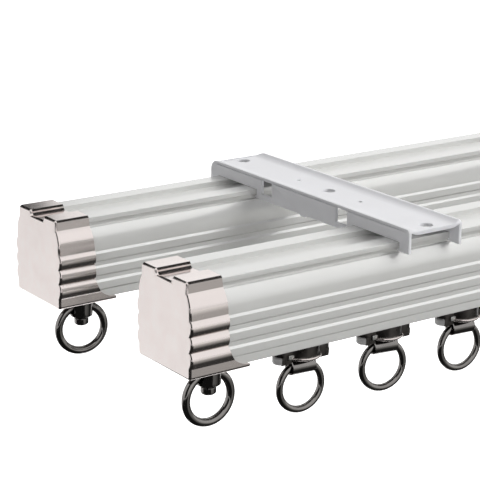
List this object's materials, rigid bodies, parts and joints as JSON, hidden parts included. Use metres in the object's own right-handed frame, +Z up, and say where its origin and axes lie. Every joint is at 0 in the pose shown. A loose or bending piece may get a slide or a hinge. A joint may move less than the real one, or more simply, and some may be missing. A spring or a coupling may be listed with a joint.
{
  "type": "double curtain track",
  "caption": "Ceiling-mounted double curtain track: two ribbed rails under folded brackets, plated end caps with hanging rings, and wheeled ring gliders that run in the rails.",
  "frame": {"origin": "centre of the ceiling screw pattern, on the upper face of the bracket plates", "axes": "+X along the track, +Y from the front rail to the back rail, +Z up into the ceiling"},
  "size_m": [0.324, 0.1114, 0.0608],
  "materials": {
    "white_coated_aluminium": "satin powder coat",
    "white_coated_steel": "satin powder coat",
    "polished_nickel": "polished plate",
    "black_nickel": "polished dark plate",
    "dark_plated_zinc": "dark satin plate",
    "steel_pin": "turned",
    "nylon": "moulded",
    "soft_nylon": "moulded, satin"
  },
  "bodies": {
    "root": {"front_rail": "white_coated_aluminium", "back_rail": "white_coated_aluminium", "left_bracket": "white_coated_steel", "right_bracket": "white_coated_steel", "front_left_cap": "polished_nickel", "front_right_cap": "polished_nickel", "back_left_cap": "polished_nickel", "back_right_cap": "polished_nickel"},
    "front_left_stud": {"front_left_stud": "black_nickel"},
    "front_left_cap_ring": {"front_left_cap_ring": "black_nickel"},
    "front_right_stud": {"front_right_stud": "black_nickel"},
    "front_right_cap_ring": {"front_right_cap_ring": "black_nickel"},
    "back_left_stud": {"back_left_stud": "black_nickel"},
    "back_left_cap_ring": {"back_left_cap_ring": "black_nickel"},
    "back_right_stud": {"back_right_stud": "black_nickel"},
    "back_right_cap_ring": {"back_right_cap_ring": "black_nickel"},
    "front_glider_1": {"front_glider_1_carriage": "dark_plated_zinc", "front_glider_1_bumpers": "soft_nylon", "front_glider_1_axles": "steel_pin"},
    "front_glider_1_left_wheels": {"front_glider_1_left_wheels": "nylon"},
    "front_glider_1_right_wheels": {"front_glider_1_right_wheels": "nylon"},
    "front_glider_1_eye": {"front_glider_1_eye": "black_nickel"},
    "front_glider_1_ring": {"front_glider_1_ring": "black_nickel"},
    "front_glider_2": {"front_glider_2_carriage": "dark_plated_zinc", "front_glider_2_bumpers": "soft_nylon", "front_glider_2_axles": "steel_pin"},
    "front_glider_2_left_wheels": {"front_glider_2_left_wheels": "nylon"},
    "front_glider_2_right_wheels": {"front_glider_2_right_wheels": "nylon"},
    "front_glider_2_eye": {"front_glider_2_eye": "black_nickel"},
    "front_glider_2_ring": {"front_glider_2_ring": "black_nickel"},
    "front_glider_3": {"front_glider_3_carriage": "dark_plated_zinc", "front_glider_3_bumpers": "soft_nylon", "front_glider_3_axles": "steel_pin"},
    "front_glider_3_left_wheels": {"front_glider_3_left_wheels": "nylon"},
    "front_glider_3_right_wheels": {"front_glider_3_right_wheels": "nylon"},
    "front_glider_3_eye": {"front_glider_3_eye": "black_nickel"},
    "front_glider_3_ring": {"front_glider_3_ring": "black_nickel"},
    "back_glider_1": {"back_glider_1_carriage": "dark_plated_zinc", "back_glider_1_bumpers": "soft_nylon", "back_glider_1_axles": "steel_pin"},
    "back_glider_1_left_wheels": {"back_glider_1_left_wheels": "nylon"},
    "back_glider_1_right_wheels": {"back_glider_1_right_wheels": "nylon"},
    "back_glider_1_eye": {"back_glider_1_eye": "black_nickel"},
    "back_glider_1_ring": {"back_glider_1_ring": "black_nickel"},
    "back_glider_2": {"back_glider_2_carriage": "dark_plated_zinc", "back_glider_2_bumpers": "soft_nylon", "back_glider_2_axles": "steel_pin"},
    "back_glider_2_left_wheels": {"back_glider_2_left_wheels": "nylon"},
    "back_glider_2_right_wheels": {"back_glider_2_right_wheels": "nylon"},
    "back_glider_2_eye": {"back_glider_2_eye": "black_nickel"},
    "back_glider_2_ring": {"back_glider_2_ring": "black_nickel"},
    "back_glider_3": {"back_glider_3_carriage": "dark_plated_zinc", "back_glider_3_bumpers": "soft_nylon", "back_glider_3_axles": "steel_pin"},
    "back_glider_3_left_wheels": {"back_glider_3_left_wheels": "nylon"},
    "back_glider_3_right_wheels": {"back_glider_3_right_wheels": "nylon"},
    "back_glider_3_eye": {"back_glider_3_eye": "black_nickel"},
    "back_glider_3_ring": {"back_glider_3_ring": "black_nickel"}
  },
  "joints": [
    {"name": "front_left_stud_swivel", "type": "hinge", "parent": "root", "child": "front_left_stud", "pos_m": [-0.1454, -0.039, -0.03897], "axis": [0, 0, 1], "continuous": true},
    {"name": "front_left_cap_ring_swing", "type": "hinge", "parent": "front_left_stud", "child": "front_left_cap_ring", "pos_m": [-0.1454, -0.039, -0.03897], "axis": [0.9998, -0.0175, 0], "range_deg": [-75, 75]},
    {"name": "front_right_stud_swivel", "type": "hinge", "parent": "root", "child": "front_right_stud", "pos_m": [0.1454, -0.039, -0.03897], "axis": [0, 0, 1], "continuous": true},
    {"name": "front_right_cap_ring_swing", "type": "hinge", "parent": "front_right_stud", "child": "front_right_cap_ring", "pos_m": [0.1454, -0.039, -0.03897], "axis": [0.9986, 0.0523, 0], "range_deg": [-75, 75]},
    {"name": "back_left_stud_swivel", "type": "hinge", "parent": "root", "child": "back_left_stud", "pos_m": [-0.1454, 0.039, -0.03897], "axis": [0, 0, 1], "continuous": true},
    {"name": "back_left_cap_ring_swing", "type": "hinge", "parent": "back_left_stud", "child": "back_left_cap_ring", "pos_m": [-0.1454, 0.039, -0.03897], "axis": [0.9877, -0.1564, 0], "range_deg": [-75, 75]},
    {"name": "back_right_stud_swivel", "type": "hinge", "parent": "root", "child": "back_right_stud", "pos_m": [0.1454, 0.039, -0.03897], "axis": [0, 0, 1], "continuous": true},
    {"name": "back_right_cap_ring_swing", "type": "hinge", "parent": "back_right_stud", "child": "back_right_cap_ring", "pos_m": [0.1454, 0.039, -0.03897], "axis": [0.9962, -0.0872, 0], "range_deg": [-75, 75]},
    {"name": "front_glider_1_slide", "type": "slide", "parent": "root", "child": "front_glider_1", "axis": [1, 0, 0], "range_m": [-0.016, 0.006]},
    {"name": "front_glider_1_left_wheels_roll", "type": "hinge", "parent": "front_glider_1", "child": "front_glider_1_left_wheels", "pos_m": [-0.1144, -0.039, -0.026], "axis": [0, 1, 0], "continuous": true},
    {"name": "front_glider_1_right_wheels_roll", "type": "hinge", "parent": "front_glider_1", "child": "front_glider_1_right_wheels", "pos_m": [-0.1046, -0.039, -0.026], "axis": [0, 1, 0], "continuous": true},
    {"name": "front_glider_1_eye_swivel", "type": "hinge", "parent": "front_glider_1", "child": "front_glider_1_eye", "pos_m": [-0.1095, -0.039, -0.04333], "axis": [0, 0, 1], "continuous": true},
    {"name": "front_glider_1_ring_swing", "type": "hinge", "parent": "front_glider_1_eye", "child": "front_glider_1_ring", "pos_m": [-0.1095, -0.039, -0.04333], "axis": [0.9976, -0.0698, 0], "range_deg": [-80, 80]},
    {"name": "front_glider_2_slide", "type": "slide", "parent": "root", "child": "front_glider_2", "axis": [1, 0, 0], "range_m": [-0.006, 0.006]},
    {"name": "front_glider_2_left_wheels_roll", "type": "hinge", "parent": "front_glider_2", "child": "front_glider_2_left_wheels", "pos_m": [-0.0801, -0.039, -0.026], "axis": [0, 1, 0], "continuous": true},
    {"name": "front_glider_2_right_wheels_roll", "type": "hinge", "parent": "front_glider_2", "child": "front_glider_2_right_wheels", "pos_m": [-0.0703, -0.039, -0.026], "axis": [0, 1, 0], "continuous": true},
    {"name": "front_glider_2_eye_swivel", "type": "hinge", "parent": "front_glider_2", "child": "front_glider_2_eye", "pos_m": [-0.0752, -0.039, -0.04333], "axis": [0, 0, 1], "continuous": true},
    {"name": "front_glider_2_ring_swing", "type": "hinge", "parent": "front_glider_2_eye", "child": "front_glider_2_ring", "pos_m": [-0.0752, -0.039, -0.04333], "axis": [0.9903, -0.1392, 0], "range_deg": [-80, 80]},
    {"name": "front_glider_3_slide", "type": "slide", "parent": "root", "child": "front_glider_3", "axis": [1, 0, 0], "range_m": [-0.006, 0.166]},
    {"name": "front_glider_3_left_wheels_roll", "type": "hinge", "parent": "front_glider_3", "child": "front_glider_3_left_wheels", "pos_m": [-0.0458, -0.039, -0.026], "axis": [0, 1, 0], "continuous": true},
    {"name": "front_glider_3_right_wheels_roll", "type": "hinge", "parent": "front_glider_3", "child": "front_glider_3_right_wheels", "pos_m": [-0.036, -0.039, -0.026], "axis": [0, 1, 0], "continuous": true},
    {"name": "front_glider_3_eye_swivel", "type": "hinge", "parent": "front_glider_3", "child": "front_glider_3_eye", "pos_m": [-0.0409, -0.039, -0.04333], "axis": [0, 0, 1], "continuous": true},
    {"name": "front_glider_3_ring_swing", "type": "hinge", "parent": "front_glider_3_eye", "child": "front_glider_3_ring", "pos_m": [-0.0409, -0.039, -0.04333], "axis": [0.9976, -0.0698, 0], "range_deg": [-80, 80]},
    {"name": "back_glider_1_slide", "type": "slide", "parent": "root", "child": "back_glider_1", "axis": [1, 0, 0], "range_m": [-0.016, 0.006]},
    {"name": "back_glider_1_left_wheels_roll", "type": "hinge", "parent": "back_glider_1", "child": "back_glider_1_left_wheels", "pos_m": [-0.1144, 0.039, -0.026], "axis": [0, 1, 0], "continuous": true},
    {"name": "back_glider_1_right_wheels_roll", "type": "hinge", "parent": "back_glider_1", "child": "back_glider_1_right_wheels", "pos_m": [-0.1046, 0.039, -0.026], "axis": [0, 1, 0], "continuous": true},
    {"name": "back_glider_1_eye_swivel", "type": "hinge", "parent": "back_glider_1", "child": "back_glider_1_eye", "pos_m": [-0.1095, 0.039, -0.04333], "axis": [0, 0, 1], "continuous": true},
    {"name": "back_glider_1_ring_swing", "type": "hinge", "parent": "back_glider_1_eye", "child": "back_glider_1_ring", "pos_m": [-0.1095, 0.039, -0.04333], "axis": [0.9945, -0.1045, 0], "range_deg": [-80, 80]},
    {"name": "back_glider_2_slide", "type": "slide", "parent": "root", "child": "back_glider_2", "axis": [1, 0, 0], "range_m": [-0.006, 0.006]},
    {"name": "back_glider_2_left_wheels_roll", "type": "hinge", "parent": "back_glider_2", "child": "back_glider_2_left_wheels", "pos_m": [-0.0801, 0.039, -0.026], "axis": [0, 1, 0], "continuous": true},
    {"name": "back_glider_2_right_wheels_roll", "type": "hinge", "parent": "back_glider_2", "child": "back_glider_2_right_wheels", "pos_m": [-0.0703, 0.039, -0.026], "axis": [0, 1, 0], "continuous": true},
    {"name": "back_glider_2_eye_swivel", "type": "hinge", "parent": "back_glider_2", "child": "back_glider_2_eye", "pos_m": [-0.0752, 0.039, -0.04333], "axis": [0, 0, 1], "continuous": true},
    {"name": "back_glider_2_ring_swing", "type": "hinge", "parent": "back_glider_2_eye", "child": "back_glider_2_ring", "pos_m": [-0.0752, 0.039, -0.04333], "axis": [0.9994, -0.0349, 0], "range_deg": [-80, 80]},
    {"name": "back_glider_3_slide", "type": "slide", "parent": "root", "child": "back_glider_3", "axis": [1, 0, 0], "range_m": [-0.006, 0.166]},
    {"name": "back_glider_3_left_wheels_roll", "type": "hinge", "parent": "back_glider_3", "child": "back_glider_3_left_wheels", "pos_m": [-0.0458, 0.039, -0.026], "axis": [0, 1, 0], "continuous": true},
    {"name": "back_glider_3_right_wheels_roll", "type": "hinge", "parent": "back_glider_3", "child": "back_glider_3_right_wheels", "pos_m": [-0.036, 0.039, -0.026], "axis": [0, 1, 0], "continuous": true},
    {"name": "back_glider_3_eye_swivel", "type": "hinge", "parent": "back_glider_3", "child": "back_glider_3_eye", "pos_m": [-0.0409, 0.039, -0.04333], "axis": [0, 0, 1], "continuous": true},
    {"name": "back_glider_3_ring_swing", "type": "hinge", "parent": "back_glider_3_eye", "child": "back_glider_3_ring", "pos_m": [-0.0409, 0.039, -0.04333], "axis": [0.9962, -0.0872, 0], "range_deg": [-80, 80]}
  ],
  "couplings": [
    {"joint": "front_glider_1_left_wheels_roll", "follows": "front_glider_1_slide", "rad_per_m": 232.56},
    {"joint": "front_glider_1_right_wheels_roll", "follows": "front_glider_1_slide", "rad_per_m": 232.56},
    {"joint": "front_glider_2_left_wheels_roll", "follows": "front_glider_2_slide", "rad_per_m": 232.56},
    {"joint": "front_glider_2_right_wheels_roll", "follows": "front_glider_2_slide", "rad_per_m": 232.56},
    {"joint": "front_glider_3_left_wheels_roll", "follows": "front_glider_3_slide", "rad_per_m": 232.56},
    {"joint": "front_glider_3_right_wheels_roll", "follows": "front_glider_3_slide", "rad_per_m": 232.56},
    {"joint": "back_glider_1_left_wheels_roll", "follows": "back_glider_1_slide", "rad_per_m": 232.56},
    {"joint": "back_glider_1_right_wheels_roll", "follows": "back_glider_1_slide", "rad_per_m": 232.56},
    {"joint": "back_glider_2_left_wheels_roll", "follows": "back_glider_2_slide", "rad_per_m": 232.56},
    {"joint": "back_glider_2_right_wheels_roll", "follows": "back_glider_2_slide", "rad_per_m": 232.56},
    {"joint": "back_glider_3_left_wheels_roll", "follows": "back_glider_3_slide", "rad_per_m": 232.56},
    {"joint": "back_glider_3_right_wheels_roll", "follows": "back_glider_3_slide", "rad_per_m": 232.56}
  ]
}
